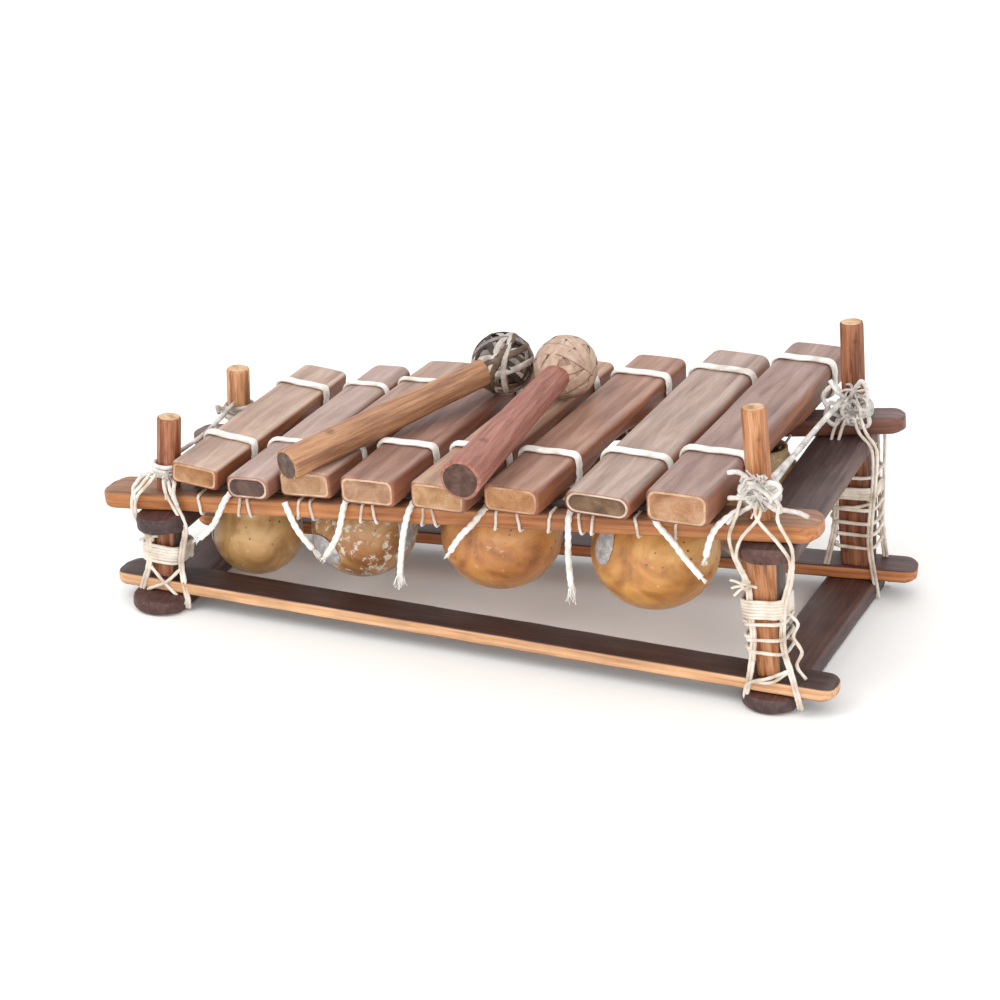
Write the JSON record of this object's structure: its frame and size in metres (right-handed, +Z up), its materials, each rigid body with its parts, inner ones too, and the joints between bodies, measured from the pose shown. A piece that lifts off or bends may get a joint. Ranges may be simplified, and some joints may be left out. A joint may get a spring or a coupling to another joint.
{
  "type": "gourd-resonated xylophone",
  "caption": "Low frame xylophone on lashed wooden posts, with a rising row of wooden bars held by white cord over hanging gourd resonators, and a pair of wound-head mallets.",
  "frame": {"origin": "middle of the instrument's footprint, on the surface it stands on", "axes": "+X from the low end with the short bars to the high end with the long bars, +Y away from the player, +Z up"},
  "size_m": [0.5144, 0.303, 0.2007],
  "materials": {
    "frame_board_wood": "dark stained, satin, sawn edges paler",
    "post_wood": "riven branch wood, satin",
    "bar_wood": "planed hardwood, satin, pale end grain",
    "gourd_shell": "dried gourd rind, waxy satin, mottled",
    "buzz_membrane": "thin translucent skin",
    "lashing_twine": "thin twisted cotton twine",
    "white_cord": "thick soft braided cotton cord",
    "padding_cloth": "dark wound cloth strip",
    "mallet_wood_brown": "peeled branch wood",
    "mallet_wood_red": "red-brown turned branch wood",
    "mallet_winding_dark": "wound strips, grey, black and off-white",
    "mallet_winding_tan": "wound natural rubber bands"
  },
  "bodies": {
    "root": {"foot_board_left": "frame_board_wood", "foot_board_right": "frame_board_wood", "lower_rail_front": "frame_board_wood", "lower_rail_back": "frame_board_wood", "cross_board_left": "frame_board_wood", "cross_board_right": "frame_board_wood", "upper_rail_front": "frame_board_wood", "upper_rail_back": "frame_board_wood", "post_front_left": "post_wood", "post_front_right": "post_wood", "post_back_left": "post_wood", "post_back_right": "post_wood", "gourd_front_1": "gourd_shell", "gourd_front_2": "gourd_shell", "gourd_front_3": "gourd_shell", "gourd_front_4": "gourd_shell", "gourd_back_1": "gourd_shell", "gourd_back_2": "gourd_shell", "gourd_back_3": "gourd_shell", "gourd_back_4": "gourd_shell", "gourd_membranes": "buzz_membrane", "gourd_ties": "lashing_twine", "pad_front": "padding_cloth", "pad_back": "padding_cloth", "rail_strings_front": "lashing_twine", "rail_strings_back": "lashing_twine", "lashing_front_left": "lashing_twine", "lashing_front_right": "lashing_twine", "lashing_back_left": "lashing_twine", "lashing_back_right": "lashing_twine", "side_cord_right": "white_cord", "side_cord_left": "white_cord", "cord_tail_1": "white_cord", "cord_tail_2": "white_cord", "cord_tail_3": "white_cord", "cord_tail_4": "white_cord", "cord_tail_5": "white_cord", "cord_tail_6": "white_cord", "cord_tail_7": "white_cord", "cord_tail_8": "white_cord"},
    "bar_1": {"bar_1": "bar_wood", "bar_1_cords": "white_cord"},
    "bar_2": {"bar_2": "bar_wood", "bar_2_cords": "white_cord"},
    "bar_3": {"bar_3": "bar_wood", "bar_3_cords": "white_cord"},
    "bar_4": {"bar_4": "bar_wood", "bar_4_cords": "white_cord"},
    "bar_5": {"bar_5": "bar_wood", "bar_5_cords": "white_cord"},
    "bar_6": {"bar_6": "bar_wood", "bar_6_cords": "white_cord"},
    "bar_7": {"bar_7": "bar_wood", "bar_7_cords": "white_cord"},
    "bar_8": {"bar_8": "bar_wood", "bar_8_cords": "white_cord"},
    "mallet_left": {"mallet_left_handle": "mallet_wood_brown", "mallet_left_head": "mallet_winding_dark"},
    "mallet_right": {"mallet_right_handle": "mallet_wood_red", "mallet_right_head": "mallet_winding_tan"}
  },
  "joints": [
    {"name": "bar_1_bounce", "type": "slide", "parent": "root", "child": "bar_1", "axis": [0.0523, 0, 0.9986], "range_m": [-0.001, 0], "stiffness_N_per_m": 3000, "springref_m": 0.001},
    {"name": "bar_2_bounce", "type": "slide", "parent": "root", "child": "bar_2", "axis": [-0.0906, 0, 0.9959], "range_m": [-0.001, 0], "stiffness_N_per_m": 3000, "springref_m": 0.001},
    {"name": "bar_3_bounce", "type": "slide", "parent": "root", "child": "bar_3", "axis": [-0.1063, 0, 0.9943], "range_m": [-0.001, 0], "stiffness_N_per_m": 3000, "springref_m": 0.001},
    {"name": "bar_4_bounce", "type": "slide", "parent": "root", "child": "bar_4", "axis": [-0.0698, 0, 0.9976], "range_m": [-0.001, 0], "stiffness_N_per_m": 3000, "springref_m": 0.001},
    {"name": "bar_5_bounce", "type": "slide", "parent": "root", "child": "bar_5", "axis": [-0.0436, 0, 0.999], "range_m": [-0.001, 0], "stiffness_N_per_m": 3000, "springref_m": 0.001},
    {"name": "bar_6_bounce", "type": "slide", "parent": "root", "child": "bar_6", "axis": [-0.0454, 0, 0.999], "range_m": [-0.001, 0], "stiffness_N_per_m": 3000, "springref_m": 0.001},
    {"name": "bar_7_bounce", "type": "slide", "parent": "root", "child": "bar_7", "axis": [-0.0175, 0, 0.9998], "range_m": [-0.001, 0], "stiffness_N_per_m": 3000, "springref_m": 0.001},
    {"name": "bar_8_bounce", "type": "slide", "parent": "root", "child": "bar_8", "axis": [-0.0314, 0, 0.9995], "range_m": [-0.001, 0], "stiffness_N_per_m": 3000, "springref_m": 0.001},
    {"name": "mallet_left_lift", "type": "slide", "parent": "root", "child": "mallet_left", "axis": [0, 0, 1], "range_m": [0, 0.2]},
    {"name": "mallet_right_lift", "type": "slide", "parent": "root", "child": "mallet_right", "axis": [0, 0, 1], "range_m": [0, 0.2]}
  ]
}
